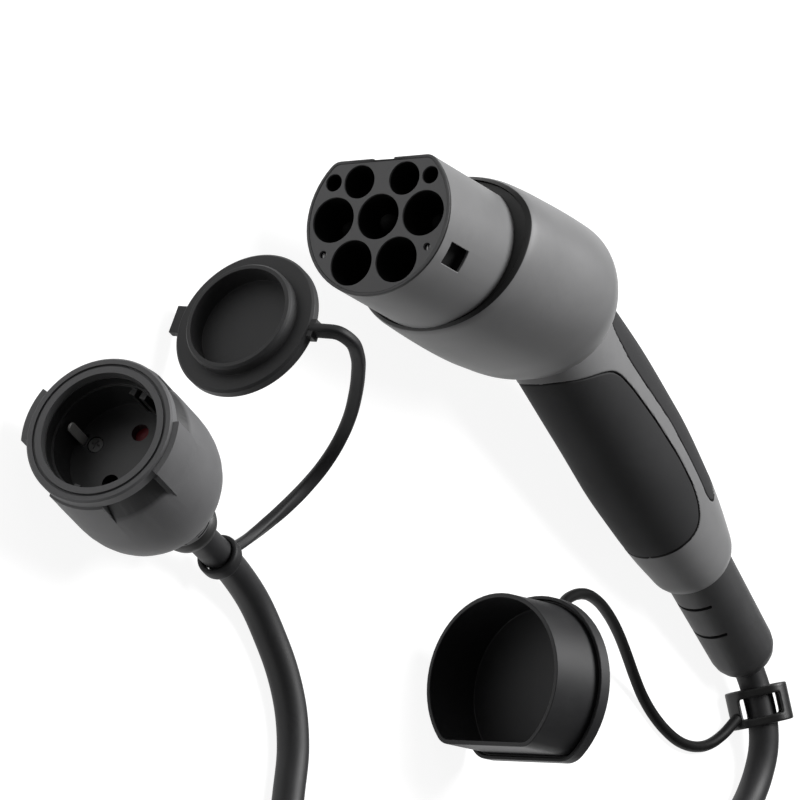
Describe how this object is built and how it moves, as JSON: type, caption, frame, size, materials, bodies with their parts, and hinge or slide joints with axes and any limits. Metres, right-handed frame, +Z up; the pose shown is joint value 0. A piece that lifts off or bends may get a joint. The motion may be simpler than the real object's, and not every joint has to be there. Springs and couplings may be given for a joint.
{
  "type": "ev charging adapter",
  "caption": "Adapter lead from a charging plug with a D-shaped nose and handle to a round household socket, with a dust cap on a tether and a lid on a strap.",
  "frame": {"origin": "on the floor, under the middle of the rigid pieces' bounding box", "axes": "+Z up from the floor; +X the way the plug's face points, seen from above; the plug lies along the -Y side and the socket along the +Y side"},
  "size_m": [0.4316, 0.2895, 0.0767],
  "materials": {
    "nose": "satin",
    "insert": "satin",
    "contact_metal": "satin",
    "tip_plastic": "matte",
    "screw_steel": "satin",
    "seal_rubber": "matte",
    "housing": "satin",
    "grip_rubber": "matte",
    "boot_rubber": "matte",
    "inner_plastic": "matte",
    "board": "satin",
    "cable_rubber": "matte",
    "tether_rubber": "matte",
    "cap_rubber": "satin",
    "socket_rubber": "matte",
    "socket_plastic": "satin",
    "spring_metal": "polished",
    "brass": "satin",
    "shutter_red": "matte",
    "dark_screw": "satin",
    "relief_plastic": "matte",
    "lid_rubber": "matte"
  },
  "bodies": {
    "adapter": {"plug_nose": "nose", "contact_insert": "insert", "pe_pin": "contact_metal", "phase_pin": "contact_metal", "neutral_pin": "contact_metal", "pilot_pin": "contact_metal", "proximity_pin": "contact_metal", "pin_tips": "tip_plastic", "insert_screws": "screw_steel", "ring_seal": "seal_rubber", "housing": "housing", "belly_grip": "grip_rubber", "back_grip": "grip_rubber", "cable_boot": "boot_rubber", "cord_clamp": "inner_plastic", "clamp_screws": "screw_steel", "coding_board": "board", "cable": "cable_rubber", "cap_clip": "tether_rubber", "cap_tether": "tether_rubber", "plug_cap": "cap_rubber", "socket_body": "socket_rubber", "socket_insert": "socket_plastic", "insert_base": "inner_plastic", "earth_clip": "spring_metal", "contact_sleeves": "brass", "face_screw": "dark_screw", "clamp_ring": "socket_plastic", "strain_relief": "relief_plastic", "socket_lid": "lid_rubber", "lid_strap": "lid_rubber"},
    "shutter": {"pin_shutter": "shutter_red"}
  },
  "joints": [
    {"name": "shutter_turn", "type": "hinge", "parent": "adapter", "child": "shutter", "pos_m": [0.17664, 0.04699, 0.02809], "axis": [0.9599, -0.1264, 0.2504], "range_deg": [0, 40], "stiffness_Nm_per_rad": 0.0004}
  ]
}
